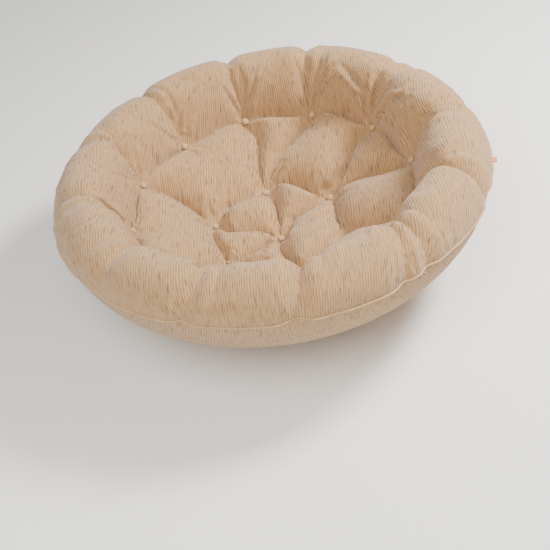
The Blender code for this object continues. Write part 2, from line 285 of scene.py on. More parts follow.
def groove_lines():
    """Every crease as its points on the flattened top and its depth at each of them."""
    lines = []
    depth_at = {"c": CENTRE_DEPTH, "i": INNER_DEPTH, "o": OUTER_DEPTH}
    for first, last, depth, bow, bend in CREASES:
        path, t = crease_path(first, last, bow, bend)
        ends = depth_at[first[0]] * (1 - t) + depth_at[last[0]] * t
        lines.append((path, ends + (depth - ends) * np.sin(math.pi * t) ** 0.8, t, TUCK))
    for name, depth, shift, bow, run in PLEATS:
        path, t = pleat_path(name, shift, bow, run)
        deep = OUTER_DEPTH * (1 - smooth(t / 0.5)) + depth * smooth(t / 0.5)
        lines.append((path, deep * (1 - smooth((t - 0.62) / 0.38) * 0.85), t, 0.4 * TUCK))
    return lines


# ---------------------------------------------------------------- ring meshes

def ring_arcs(section, rings, inner, outer):
    """Arc length of each ring, with a whole ring on each tuft circle."""
    index = [0, INNER_MARK * rings // UNDER_RINGS, OUTER_MARK * rings // UNDER_RINGS, rings]
    arcs = [0.0, section.arc_at(inner), section.arc_at(outer), section.arc[-1]]
    return np.interp(np.arange(rings + 1), index, arcs)


def ring_faces(rings):
    """Triangles of a disc whose ring k holds 6k points, and each ring's first point."""
    first = [0] + [1 + 3 * k * (k - 1) for k in range(1, rings + 1)]
    faces = []
    for k in range(1, rings + 1):
        inner = max(1, 6 * (k - 1))
        for side in range(6):
            for j in range(k):
                a = first[k] + (side * k + j) % (6 * k)
                b = first[k] + (side * k + j + 1) % (6 * k)
                c = first[k - 1] + (side * (k - 1) + j) % inner
                faces.append((a, b, c))
                if j < k - 1:
                    faces.append((c, b, first[k - 1] + (side * (k - 1) + j + 1) % inner))
    return faces, first


def ring_points(rings):
    """Ring number and angle of each point, clockwise from +Y as seen from above."""
    ring = np.concatenate([np.full(max(1, 6 * k), k) for k in range(rings + 1)])
    step = np.concatenate([np.arange(max(1, 6 * k)) / max(1, 6 * k) for k in range(rings + 1)])
    return ring, math.pi / 2 - math.tau * step


def place(section, arcs, ring, angle):
    radius, height = section.at(arcs[ring])
    return np.stack([radius * np.cos(angle), radius * np.sin(angle), height], 1)


def rest_form(section, arcs, ring, angle, gather, slack):
    """The cloth as cut: the same arc lengths, with extra round the edge gathered in at the seam."""
    radius, _ = section.at(arcs)
    extra = gather * np.clip((radius - INNER_RING) / (SEAM_RADIUS - INNER_RING), 0.0, 1.0)
    wide = radius * (1.0 + extra)
    rise = np.sqrt(np.clip(np.diff(arcs) ** 2 - np.diff(wide) ** 2, 0.0, None))
    height = np.concatenate([[0.0], np.cumsum(rise)])
    points = np.stack([wide[ring] * np.cos(angle), wide[ring] * np.sin(angle), height[ring]], 1)
    return points * (1.0 + slack)


def compact(distance, reach):
    return np.clip(1.0 - (distance / reach) ** 2, 0.0, None) ** 2


def wander(angle, seed, waves, size):
    """A small smooth variation round the pad, the same each run."""
    rng = np.random.default_rng(seed)
    total = np.zeros_like(angle)
    for wave in waves:
        total += np.sin(wave * angle + rng.uniform(0, math.tau)) * rng.uniform(0.5, 1.0)
    return total * size / len(waves)


def seam_pull(angle):
    """How far the edge seam is drawn in and down at each angle."""
    pull = np.zeros_like(angle)
    for name, depth, shift, _, _ in PLEATS:
        centre = math.atan2(*unrolled(name)[::-1]) + shift / SEAM_RADIUS
        apart = np.abs((angle - centre + math.pi) % math.tau - math.pi) * SEAM_RADIUS
        pull += 0.006 * depth / 0.03 * np.exp(-(apart / 0.022) ** 2)
    return pull


# ---------------------------------------------------------------- cloth

def mesh_object(name, points, faces):
    data = bpy.data.meshes.new(name)
    data.from_pydata([tuple(p) for p in points], [], faces)
    data.update()
    data.shade_smooth()
    obj = bpy.data.objects.new(name, data)
    bpy.context.scene.collection.objects.link(obj)
    return obj


def read_points(data):
    flat = np.empty(len(data.vertices) * 3, dtype=np.float32)
    data.vertices.foreach_get("co", flat)
    return flat.reshape(-1, 3).astype(float)


def write_points(data, points):
    data.vertices.foreach_set("co", np.ascontiguousarray(points, dtype=np.float32).ravel())
    data.update()


def inflate(obj, rest, held, frames, pressure, cap, stiffness, bending):
    """Blow the sheet up against its held points, with cloth, and keep the result on the mesh."""
    start = read_points(obj.data)
    obj.shape_key_add(name="Basis")
    cut = obj.shape_key_add(name="cut")
    cut.data.foreach_set("co", np.ascontiguousarray(rest, dtype=np.float32).ravel())
    cut.value = 0.0
    group = obj.vertex_groups.new(name="held")
    for weight in sorted(set(np.round(held[held > 0], 2))):
        members = np.nonzero(np.abs(held - weight) < 0.005)[0]
        group.add([int(i) for i in members], float(weight), "REPLACE")
    cloth = obj.modifiers.new("cloth", "CLOTH")
    settings = cloth.settings
    settings.quality = 4
    settings.mass = MASS
    settings.tension_stiffness = stiffness
    settings.compression_stiffness = stiffness
    settings.shear_stiffness = stiffness / 3
    settings.bending_stiffness = bending
    settings.tension_damping = 5.0
    settings.compression_damping = 5.0
    settings.shear_damping = 5.0
    settings.use_pressure = True
    settings.uniform_pressure_force = pressure
    settings.vertex_group_mass = "held"
    settings.pin_stiffness = 20.0
    settings.rest_shape_key = cut
    settings.effector_weights.gravity = 0.0
    cloth.collision_settings.use_collision = False
    cloth.collision_settings.use_self_collision = False
    cloth.point_cache.frame_end = frames
    scene = bpy.context.scene
    graph = bpy.context.evaluated_depsgraph_get()
    for number in range(1, frames + 1):
        scene.frame_set(number)
        graph.update()
    done = read_points(obj.evaluated_get(graph).data)
    obj.modifiers.clear()
    obj.shape_key_clear()
    obj.vertex_groups.clear()
    scene.frame_set(1)
    moved = done - start
    far = np.linalg.norm(moved, axis=1, keepdims=True)
    moved *= np.minimum(1.0, cap / np.maximum(far, 1e-9))
    write_points(obj.data, start + moved)
    return start + moved


def top_panel():
    """The top cover: laid out flat in rings, creased along the tufted lines, then blown up."""
    arcs = ring_arcs(TOP, TOP_RINGS, INNER_RING, OUTER_RING)
    faces, _ = ring_faces(TOP_RINGS)
    ring, angle = ring_points(TOP_RINGS)
    points = place(TOP, arcs, ring, angle)
    flat = np.stack([np.cos(angle), np.sin(angle)], 1) * arcs[ring][:, None]
    cut_plan = flat.copy()
    spacing = TOP.arc[-1] / TOP_RINGS
    deep = np.zeros(len(points))
    for top, _ in TUFTS.values():
        radius = math.hypot(top[0], top[1])
        near = np.maximum(np.hypot(points[:, 0] - top[0], points[:, 1] - top[1]) - BUTTON_RADIUS, 0.0)
        sunk = float(top_height(radius)) - top[2]
        deep = np.maximum(deep, sunk * np.clip(1.0 - near / (0.6 * TOP_DIMPLE), 0.0, None) ** 1.6)
    held = np.zeros(len(points))
    nearest = np.full(len(points), 1.0)
    lonely = np.full(len(points), 1.0)
    for path, depth, t, tuck in groove_lines():
        low, high = path.min(0) - 0.06, path.max(0) + 0.06
        inside = np.nonzero(np.all((flat > low) & (flat < high), axis=1))[0]
        gap = np.linalg.norm(flat[inside][:, None, :] - path[None], axis=2)
        best = gap.argmin(1)
        away = gap[np.arange(len(inside)), best]
        here = depth[best]
        lonely[inside] = np.minimum(lonely[inside], away)
        deep[inside] = np.maximum(deep[inside], here * np.clip(1.0 - away / GROOVE, 0.0, None) ** 2)
        on = (away < 0.55 * spacing) & (away < nearest[inside])
        chosen = inside[on]
        nearest[chosen] = away[on]
        flat[chosen] += 0.7 * (path[best[on]] - flat[chosen])
        deep[chosen] = here[on] + tuck * np.sin(math.pi * np.clip(t[best[on]], 0.0, 1.0)) ** 0.5
        held[chosen] = HOLD
    arc = np.hypot(flat[:, 0], flat[:, 1])
    turn = np.arctan2(flat[:, 1], flat[:, 0])
    radius, height = TOP.at(arc)
    out, up = TOP.normal(arc)
    deep -= PUFF * smooth(lonely / GROOVE) * (1.0 - 0.6 * smooth((radius - 0.40) / 0.08))
    lean = smooth((radius - OUTER_RING) / (CREST_RADIUS - OUTER_RING))
    out, up = out * lean, up * lean + 1.0 - lean
    pull = seam_pull(turn) * smooth((arc - 0.6) / (TOP.arc[-1] - 0.6))
    radius = radius - out * deep - pull + wander(turn, 5, (3, 5, 7, 11), 0.006) * smooth((radius - 0.4) / 0.1)
    height = height - up * deep + wander(turn, 9, (2, 5, 9), 0.005) * smooth((radius - 0.35) / 0.1)
    points = np.stack([radius * np.cos(turn), radius * np.sin(turn), height], 1)
    held[ring == TOP_RINGS] = 1.0
    for top, _ in TUFTS.values():
        seat = np.linalg.norm(points - top, axis=1) < 1.05 * spacing
        held[seat] = 1.0
        points[seat, 2] = np.minimum(points[seat, 2], top[2] + 0.002)
    obj = mesh_object("cover_top_cloth", points, [(a, c, b) for a, b, c in faces])
    rest = rest_form(TOP, arcs, ring, angle, GATHER, SLACK)
    points = inflate(obj, rest, held, FRAMES, PRESSURE, 0.030, STIFF, BENDING)
    return obj, points, cut_plan


def under_panel(edge):
    """The under cover: the same, with a dimple at each knot, resting flat where it meets the floor."""
    inner, outer = (math.hypot(*TUFTS[name][1][:2]) for name in ("inner_1", "outer_01"))
    arcs = ring_arcs(UNDER, UNDER_RINGS, inner, outer)
    faces, _ = ring_faces(UNDER_RINGS)
    ring, angle = ring_points(UNDER_RINGS)
    points = place(UNDER, arcs, ring, angle)
    cut_plan = np.stack([np.cos(angle), np.sin(angle)], 1) * arcs[ring][:, None]
    radius = np.hypot(points[:, 0], points[:, 1])
    held = np.zeros(len(points))
    for _, foot in TUFTS.values():
        near = np.hypot(points[:, 0] - foot[0], points[:, 1] - foot[1])
        lift = foot[2] - float(under_height(math.hypot(foot[0], foot[1])))
        points[:, 2] += lift * compact(near, UNDER_DIMPLE)
        held[near < 0.011] = 1.0
    shirr = wander(angle, 21, (41, 53, 67, 74), 0.006) * np.exp(-(arcs[-1] - arcs[ring]) / 0.05)
    points[:, 0] -= shirr * np.cos(angle)
    points[:, 1] -= shirr * np.sin(angle)
    rim = ring == UNDER_RINGS
    points[rim] = edge
    held[rim] = 1.0
    held[(radius < REST_RADIUS * 0.9) & (held == 0.0)] = 0.4
    obj = mesh_object("cover_under_cloth", points, faces)
    rest = rest_form(UNDER, arcs, ring, angle, 0.10, 0.025)
    points = inflate(obj, rest, held, FRAMES, PRESSURE * 0.8, 0.020, STIFF, BENDING)
    points[:, 2] = np.maximum(points[:, 2], FLOOR_GAP)
    write_points(obj.data, points)
    return obj, points, cut_plan


# ---------------------------------------------------------------- small shapes

def sweep(path, radius, sides=8, closed=False, flat=1.0, up=Vector((0.0, 0.0, 1.0))):
    """Points and faces of a round cord along a path; flat squeezes it across the up direction."""
    path = [Vector(p) for p in path]
    count = len(path)
    points, faces = [], []
    side = None
    for i, centre in enumerate(path):
        before = path[i - 1] if i or closed else path[i]
        after = path[(i + 1) % count] if i + 1 < count or closed else path[i]
        along = (after - before).normalized()
        if side is None:
            side = along.cross(up)
            if side.length < 1e-4:
                side = along.cross(Vector((1.0, 0.0, 0.0)))
        side = (side - along * side.dot(along)).normalized()
        other = along.cross(side)
        for j in range(sides):
            turn = math.tau * j / sides
            points.append(centre + (side * math.cos(turn) + other * math.sin(turn) * flat) * radius)
    for i in range(count if closed else count - 1):
        here, there = i * sides, (i + 1) % count * sides
        for j in range(sides):
            k = (j + 1) % sides
            faces.append((here + j, here + k, there + k, there + j))
    if not closed:
        faces.append(tuple(range(sides))[::-1])
        faces.append(tuple((count - 1) * sides + j for j in range(sides)))
    return points, faces


def join(parts):
    points, faces = [], []
    for more, quads in parts:
        shift = len(points)
        points.extend(more)
        faces.extend(tuple(i + shift for i in face) for face in quads)
    return points, faces


def tidy_normals(obj):
    work = bmesh.new()
    work.from_mesh(obj.data)
    bmesh.ops.recalc_face_normals(work, faces=work.faces)
    work.to_mesh(obj.data)
    work.free()
    obj.data.shade_smooth()


def to_axis(points, origin, axis):
    turn = Vector(axis).to_track_quat("Z", "Y")
    return [turn @ Vector(p) + Vector(origin) for p in points]


def button_shape(seed):
    """A cloth-covered button: a domed disc whose cloth is drawn in folds under its rim."""
    rng = np.random.default_rng(seed)
    profile = [(0.0, 1.0), (0.30, 0.97), (0.58, 0.86), (0.80, 0.66),
               (0.94, 0.42), (0.98, 0.22), (0.90, 0.08), (0.70, 0.0)]
    sides = 36
    folds = [rng.uniform(0, math.tau) for _ in range(3)]
    points, faces = [], []
    for row, (out, up) in enumerate(profile[1:]):
        for j in range(sides):
            turn = math.tau * j / sides
            drawn = (0.05 * smooth((row - 2) / 3.0) * math.sin(11 * turn + folds[0])
                     + 0.02 * math.sin(3 * turn + folds[1]))
            reach = BUTTON_RADIUS * out * (1.0 + float(drawn))
            lift = BUTTON_HEIGHT * up * (1.0 + 0.04 * math.sin(2 * turn + folds[2]))
            points.append((reach * math.cos(turn), reach * math.sin(turn), lift))
    crown = len(points)
    points.append((0.0, 0.0, BUTTON_HEIGHT))
    base = crown + 1
    points.append((0.0, 0.0, 0.0))
    last = (len(profile) - 2) * sides
    for j in range(sides):
        k = (j + 1) % sides
        faces.append((crown, j, k))
        faces.append((base, last + k, last + j))
        for row in range(len(profile) - 2):
            here = row * sides
            faces.append((here + j, here + sides + j, here + sides + k, here + k))
    return points, faces


def knot_shape(length, seed):
    """The tie: twine up through the pad, an overhand knot under it and two cut ends."""
    rng = np.random.default_rng(seed)
    turn = rng.uniform(0, math.tau)
    t = np.linspace(0.0, math.tau, 60, endpoint=False)
    size = 0.0016
    knot = np.stack([(np.sin(t) + 2 * np.sin(2 * t)) * size, (np.cos(t) - 2 * np.cos(2 * t)) * size,
                     -np.sin(3 * t) * size - 0.0038], 1)
    parts = [sweep(knot, CORD_RADIUS, 8, closed=True),
             sweep([(0, 0, -0.004), (0, 0, 0.0), (0, 0, length * 0.5), (0, 0, length)], CORD_RADIUS, 8)]
    for way in (0.0, rng.uniform(2.0, 3.6)):
        reach = rng.uniform(0.014, 0.020)
        s = np.linspace(0.0, 1.0, 9)
        bend = turn + way + 0.5 * s
        end = np.stack([np.cos(bend) * reach * s, np.sin(bend) * reach * s,
                        -0.0040 + 0.0016 * np.sin(math.pi * s)], 1)
        parts.append(sweep(end, CORD_RADIUS * 0.9, 8))
    return join(parts)


def lip_shape(edge):
    """The turned seam allowance: a thin ridge of both covers pressed together."""
    section = [(-0.0030, -0.0010), (0.0008, -0.0011), (SEAM_LIP * 0.8, -0.0008), (SEAM_LIP, 0.0),
               (SEAM_LIP * 0.8, 0.0008),
               (0.0008, 0.0011), (-0.0030, 0.0010)]
    turn = np.arctan2(edge[:, 1], edge[:, 0])
    wave = wander(turn, 31, (23, 37, 61, 88), 0.0022)
    droop = wander(turn, 33, (19, 29, 47), 0.0020)
    points, faces = [], []
    for i, centre in enumerate(edge):
        out = np.array([math.cos(turn[i]), math.sin(turn[i]), 0.0])
        for across, up in section:
            share = max(across, 0.0) / SEAM_LIP
            spot = centre + out * (across + share * wave[i])
            points.append((spot[0], spot[1], spot[2] + up + share * droop[i]))
    count, rows = len(edge), len(section)
    for i in range(count):
        here, there = i * rows, (i + 1) % count * rows
        for j in range(rows):
            k = (j + 1) % rows
            faces.append((here + j, here + k, there + k, there + j))
    return points, faces


def stitch_shape(edge):
    """The seam's thread: a short stitch every few millimetres, each dipping into the cloth."""
    step = np.linalg.norm(np.roll(edge, -1, axis=0) - edge, axis=1)
    arc = np.concatenate([[0.0], np.cumsum(step)])
    closed = np.concatenate([edge, edge[:1]])
    count = int(arc[-1] / STITCH_PITCH)
    pitch = arc[-1] / count
    parts = []
    for number in range(count):
        path = []
        for s, lift in ((-0.34, -0.0006), (-0.22, 0.0003), (0.0, 0.0006), (0.22, 0.0003), (0.34, -0.0006)):
            spot = np.array([np.interp((number + 0.5 + s) * pitch, arc, closed[:, axis])
                             for axis in range(3)])
            turn = math.atan2(spot[1], spot[0])
            out = np.array([math.cos(turn), math.sin(turn), 0.0])
            path.append(spot + out * (lift - 0.0012) + np.array([0.0, 0.0, 0.0030]))
        parts.append(sweep(path, 0.0005, 5))
    return join(parts)


def tab_shape(edge):
    """The ribbon tab: a strip folded in half, its ends caught in the seam, with a slight curl."""
    turn = np.arctan2(edge[:, 1], edge[:, 0])
    root = edge[np.abs(turn - TAB_TURN).argmin()]
    s = np.linspace(0.0, 1.0, 19)
    out_way = np.array([math.cos(TAB_TURN), math.sin(TAB_TURN), 0.0])
    side_way = np.array([-math.sin(TAB_TURN), math.cos(TAB_TURN), 0.0])
    reach = TAB_LENGTH * np.sin(math.pi * s)
    gap = 0.0016 * np.cos(math.pi * s)
    columns = np.linspace(-0.5, 0.5, 9)
    points, faces = [], []
    for layer in (0.00025, -0.00025):
        for i in range(len(s)):
            for c in columns:
                curl = (0.0022 * (reach[i] / TAB_LENGTH) ** 2
                        + 0.0009 * math.sin(5.0 * c) * reach[i] / TAB_LENGTH)
                spot = root + out_way * (reach[i] - 0.002) + side_way * c * TAB_WIDTH
                across = (np.array([0.0, 0.0, 1.0]) * math.cos(math.pi * s[i])
                          + out_way * math.sin(math.pi * s[i]))
                spot = spot + np.array([0.0, 0.0, gap[i] + curl - 0.0005]) + across * layer
                points.append(tuple(spot))
    rows, wide = len(s), len(columns)
    skin = rows * wide
    for i in range(rows - 1):
        for j in range(wide - 1):
            a, b = i * wide + j, (i + 1) * wide + j
            faces.append((a, a + 1, b + 1, b))
            faces.append((skin + a, skin + b, skin + b + 1, skin + a + 1))
    border = [j for j in range(wide)] + [i * wide + wide - 1 for i in range(1, rows)]
    border += [(rows - 1) * wide + j for j in range(wide - 2, -1, -1)]
    border += [i * wide for i in range(rows - 2, 0, -1)]
    for a, b in zip(border, border[1:] + border[:1]):
        faces.append((a, skin + a, skin + b, b))
    return points, faces


def fill_shape(top, under):
    """The fibre filling: both covers' inner surfaces, drawn in, joined at the edge and round each tie."""
    faces, first = ring_faces(UNDER_RINGS)
    picks = []
    for k in range(UNDER_RINGS + 1):
        start = 0 if k == 0 else 1 + 3 * (2 * k) * (2 * k - 1)
        picks.extend(start + 2 * j for j in range(max(1, 6 * k)))
    upper, lower = top[picks], under.copy()
    skins = []
    for skin, sign in ((upper, 1.0), (lower, -1.0)):
        tri = np.array(faces)
        normal = np.cross(skin[tri[:, 2]] - skin[tri[:, 0]], skin[tri[:, 1]] - skin[tri[:, 0]])
        at = np.zeros_like(skin)
        for corner in range(3):
            np.add.at(at, tri[:, corner], normal)
        at /= np.linalg.norm(at, axis=1, keepdims=True) + 1e-12
        skins.append(skin - at * sign * FILL_INSET)
    upper, lower = skins
    for skin, lowest in ((upper, np.minimum), (lower, np.maximum)):
        for _ in range(FILL_CLEAR):
            level = skin[:, 2].copy()
            for a, b in ((0, 1), (1, 2), (2, 0)):
                lowest.at(level, tri[:, a], skin[tri[:, b], 2])
                lowest.at(level, tri[:, b], skin[tri[:, a], 2])
            skin[:, 2] = level
    thin = upper[:, 2] - lower[:, 2] < FILL_THIN
    middle = 0.5 * (upper[thin, 2] + lower[thin, 2])
    upper[thin, 2], lower[thin, 2] = middle + 0.5 * FILL_THIN, middle - 0.5 * FILL_THIN
    count = len(upper)
    rim = np.arange(count - 6 * UNDER_RINGS, count)
    middle = 0.5 * (upper[rim] + lower[rim])
    inward = -middle[:, :2] / np.linalg.norm(middle[:, :2], axis=1, keepdims=True)
    for skin, lift in ((upper, 0.0015), (lower, -0.0015)):
        skin[rim] = middle + np.concatenate([inward * 0.004, np.full((len(rim), 1), lift)], 1)
    cores = {0}
    for i in range(INNER_COUNT):
        cores.add(first[INNER_MARK] + i * INNER_MARK)
    for i in range(OUTER_COUNT):
        cores.add(first[OUTER_MARK] + i * OUTER_MARK // 2)
    body, walls = [], []
    for a, b, c in faces:
        core = {a, b, c} & cores
        if core:
            hub = core.pop()
            edge = (b, c) if a == hub else (c, a) if b == hub else (a, b)
            walls.append((edge[0], edge[1], edge[1] + count, edge[0] + count))
        else:
            body.append((a, c, b))
            body.append((a + count, b + count, c + count))
    for i in range(len(rim)):
        a, b = int(rim[i]), int(rim[(i + 1) % len(rim)])
        walls.append((a, b, b + count, a + count))
    points = np.concatenate([upper, lower])
    used = sorted(set(i for face in body + walls for i in face))
    number = {old: new for new, old in enumerate(used)}
    faces = [tuple(number[i] for i in face) for face in body + walls]
    return points[used], faces


# ---------------------------------------------------------------- materials

def material(name, colour, rough, sheen=0.0):
    mat = bpy.data.materials.new(name)
    mat.use_nodes = True
    tree = mat.node_tree
    shader = tree.nodes["Principled BSDF"]
    shader.inputs["Base Color"].default_value = (*colour, 1.0)
    shader.inputs["Roughness"].default_value = rough
    shader.inputs["Specular IOR Level"].default_value = 0.2
    shader.inputs["Sheen Weight"].default_value = sheen
    shader.inputs["Sheen Roughness"].default_value = 0.6
    return mat, tree, shader


def maths(tree, operation, first, second=None, third=None):
    made = tree.nodes.new("ShaderNodeMath")
    made.operation = operation
    for socket, value in zip(made.inputs, (first, second, third)):
        if value is None:
            continue
        if isinstance(value, bpy.types.NodeSocket):
            tree.links.new(value, socket)
        else:
            socket.default_value = value
    return made.outputs[0]


def noise(tree, where, scale, detail=2.0, rough=0.5):
    made = tree.nodes.new("ShaderNodeTexNoise")
    made.inputs["Scale"].default_value = scale
    made.inputs["Detail"].default_value = detail
    made.inputs["Roughness"].default_value = rough
    tree.links.new(where, made.inputs["Vector"])
    return made.outputs["Fac"]


def stretched(tree, where, scale):
    made = tree.nodes.new("ShaderNodeMapping")
    made.vector_type = "POINT"
    made.inputs["Scale"].default_value = scale
    tree.links.new(where, made.inputs["Vector"])
    return made.outputs["Vector"]


def spread(tree, value, low, high, bottom=0.0, top=1.0):
    made = tree.nodes.new("ShaderNodeMapRange")
    made.inputs["From Min"].default_value = low
    made.inputs["From Max"].default_value = high
    made.inputs["To Min"].default_value = bottom
    made.inputs["To Max"].default_value = top
    made.clamp = True
    tree.links.new(value, made.inputs["Value"])
    return made.outputs["Result"]


def blend_colour(tree, amount, first, second, way="MIX"):
    made = tree.nodes.new("ShaderNodeMix")
    made.data_type = "RGBA"
    made.blend_type = way
    sockets = [s for s in made.inputs if s.enabled]
    for socket, value in zip(sockets, (amount, first, second)):
        if isinstance(value, bpy.types.NodeSocket):
            tree.links.new(value, socket)
        elif isinstance(value, tuple):
            socket.default_value = (*value, 1.0)
        else:
            socket.default_value = value
    return [s for s in made.outputs if s.enabled][0]


def slub_cloth(name, attribute, lit_share=0.0):
    """Ribbed slub weave: thick uneven ribs with painted shade in the rib valleys and the weft dips, finer
    cross yarns and darker flecks along the ribs.
    """
    mat, tree, shader = material(name, (0.55, 0.40, 0.27), 0.92, 0.25)
    if attribute:
        lay = tree.nodes.new("ShaderNodeAttribute")
        lay.attribute_name = attribute
        where = lay.outputs["Vector"]
    else:
        where = tree.nodes.new("ShaderNodeTexCoord").outputs["Object"]
    apart = tree.nodes.new("ShaderNodeSeparateXYZ")
    tree.links.new(where, apart.inputs[0])
    across, along = apart.outputs["X"], apart.outputs["Y"]
    drift = noise(tree, stretched(tree, where, (14.0, 5.0, 14.0)), 1.0, 2.0)
    phase = maths(tree, "MULTIPLY_ADD", across, math.tau / RIB_PITCH, maths(tree, "MULTIPLY", drift, 14.0))
    rib = maths(tree, "MULTIPLY_ADD", maths(tree, "SINE", phase), 0.5, 0.5)
    weft = maths(tree, "MULTIPLY", rib, 1.6)
    weft = maths(tree, "MULTIPLY_ADD", along, math.tau / WEFT_PITCH, weft)
    weft = maths(tree, "MULTIPLY_ADD", maths(tree, "SINE", weft), 0.5, 0.5)
    slub = noise(tree, stretched(tree, where, (330.0, 42.0, 100.0)), 1.0, 3.0, 0.6)
    broken = noise(tree, stretched(tree, where, (150.0, 70.0, 100.0)), 1.0, 3.0, 0.6)
    fleck = noise(tree, stretched(tree, where, (230.0, 26.0, 90.0)), 1.0, 2.0, 0.45)
    fleck = spread(tree, fleck, 0.585, 0.69)
    cross = spread(tree, noise(tree, stretched(tree, where, (60.0, 420.0, 90.0)), 1.0, 2.0, 0.5), 0.62, 0.76)
    patch = noise(tree, where, 9.0, 3.0)
    fine = noise(tree, where, 1500.0, 2.0)
    # Rib colour: partly uneven yarn tone, partly painted shade that darkens the valleys between the ribs
    # towards (0.28, 0.145, 0.055).
    uneven_rib_shade = maths(tree, "MULTIPLY", rib, spread(tree, broken, 0.25, 0.7, 0.35, 1.0))
    thread = blend_colour(tree, spread(tree, uneven_rib_shade, 0.0, 1.0), (0.28, 0.145, 0.055), (0.61, 0.360, 0.155))
    thread = blend_colour(tree, spread(tree, slub, 0.35, 0.75, 0.0, 0.60), thread, (0.69, 0.435, 0.21))
    thread = blend_colour(tree, maths(tree, "MULTIPLY", fleck, 0.80), thread, (0.11, 0.07, 0.045))
    thread = blend_colour(tree, maths(tree, "MULTIPLY", cross, 0.22), thread, (0.20, 0.13, 0.08))
    # Painted shade: up to 16% darker in the dips between the weft yarns.
    thread = blend_colour(tree, spread(tree, weft, 0.0, 1.0, 0.16, 0.0), thread, (0.17, 0.11, 0.06))
    thread = blend_colour(tree, spread(tree, patch, 0.3, 0.7, 0.0, 0.14), thread, (0.30, 0.20, 0.11))
    # Lit copy of the cloth: mixes this share towards the palest yarn colour. This is painted light that keeps
    # the buttons pale in the shade of their dimples, and the seam lip takes the same copy.
    if lit_share:
        thread = blend_colour(tree, lit_share, thread, (0.66, 0.43, 0.22))
    tree.links.new(thread, shader.inputs["Base Color"])
    tree.links.new(spread(tree, slub, 0.3, 0.7, 0.98, 0.86), shader.inputs["Roughness"])
    height = maths(tree, "MULTIPLY_ADD", rib, 0.9, maths(tree, "MULTIPLY", weft, 0.35))
    height = maths(tree, "ADD", height, maths(tree, "MULTIPLY", slub, 0.8))
    height = maths(tree, "ADD", height, maths(tree, "MULTIPLY", fine, 0.25))
    bump = tree.nodes.new("ShaderNodeBump")
    bump.inputs["Strength"].default_value = 0.75
    bump.inputs["Distance"].default_value = 0.0011
    tree.links.new(height, bump.inputs["Height"])
    tree.links.new(bump.outputs[0], shader.inputs["Normal"])
    return mat


def twine(name, colour, scale):
    """Twisted thread: fine slanting plies with a little shade between them."""
    mat, tree, shader = material(name, colour, 0.85, 0.2)
    where = tree.nodes.new("ShaderNodeTexCoord").outputs["Object"]
    ply = noise(tree, stretched(tree, where, (scale, scale * 0.4, scale)), 1.0, 2.0)
    dark = tuple(c * 0.55 for c in colour)
    tree.links.new(blend_colour(tree, spread(tree, ply, 0.3, 0.7), dark, colour), shader.inputs["Base Color"])
    tree.links.new(spread(tree, ply, 0.3, 0.7, 0.95, 0.75), shader.inputs["Roughness"])
    bump = tree.nodes.new("ShaderNodeBump")
    bump.inputs["Strength"].default_value = 0.5
    bump.inputs["Distance"].default_value = 0.0004
    tree.links.new(ply, bump.inputs["Height"])
    tree.links.new(bump.outputs[0], shader.inputs["Normal"])
    return mat


def ribbon(name, colour):
    """Woven ribbon: fine cross ribs, paler on alternate bands, and slight unevenness."""
    mat, tree, shader = material(name, colour, 0.6, 0.15)
    where = tree.nodes.new("ShaderNodeTexCoord").outputs["Object"]
    wave = tree.nodes.new("ShaderNodeTexWave")
    wave.bands_direction = "DIAGONAL"
    wave.inputs["Scale"].default_value = 420.0
    wave.inputs["Distortion"].default_value = 0.6
    tree.links.new(where, wave.inputs["Vector"])
    pale = tuple(min(1.0, c * 1.25) for c in colour)
    tree.links.new(blend_colour(tree, wave.outputs["Fac"], colour, pale), shader.inputs["Base Color"])
    tree.links.new(spread(tree, noise(tree, where, 400.0), 0.3, 0.7, 0.5, 0.75), shader.inputs["Roughness"])
    bump = tree.nodes.new("ShaderNodeBump")
    bump.inputs["Strength"].default_value = 0.4
    bump.inputs["Distance"].default_value = 0.0003
    tree.links.new(wave.outputs["Fac"], bump.inputs["Height"])
    tree.links.new(bump.outputs[0], shader.inputs["Normal"])
    return mat


def wadding(name):
    """Polyester fibre: white, matt, with tangled strands."""
    mat, tree, shader = material(name, (0.84, 0.83, 0.80), 0.95, 0.4)
    where = tree.nodes.new("ShaderNodeTexCoord").outputs["Object"]
    strand = noise(tree, stretched(tree, where, (90.0, 260.0, 160.0)), 1.0, 5.0, 0.65)
    tree.links.new(blend_colour(tree, spread(tree, strand, 0.3, 0.7), (0.66, 0.65, 0.62), (0.88, 0.87, 0.85)),
                   shader.inputs["Base Color"])
    bump = tree.nodes.new("ShaderNodeBump")
    bump.inputs["Strength"].default_value = 0.8
    bump.inputs["Distance"].default_value = 0.003
    tree.links.new(strand, bump.inputs["Height"])
    tree.links.new(bump.outputs[0], shader.inputs["Normal"])
    return mat


# ---------------------------------------------------------------- building the pieces

def lay_cloth(obj, plan):
    """Keeps each point's place on the flat cloth, across and along the ribs, for the weave."""
    across = np.array([math.sin(RIB_TURN), -math.cos(RIB_TURN)])
    along = np.array([math.cos(RIB_TURN), math.sin(RIB_TURN)])
    field = obj.data.attributes.new("cloth", "FLOAT_VECTOR", "POINT")
    spots = np.stack([plan @ across, plan @ along, np.zeros(len(plan))], 1)
    field.data.foreach_set("vector", spots.astype(np.float32).ravel())


def subdivide(obj):
    modifier = obj.modifiers.new("fine", "SUBSURF")
    modifier.levels = modifier.render_levels = 1
    graph = bpy.context.evaluated_depsgraph_get()
    data = bpy.data.meshes.new_from_object(obj.evaluated_get(graph))
    obj.modifiers.clear()
    obj.data = data
    data.shade_smooth()


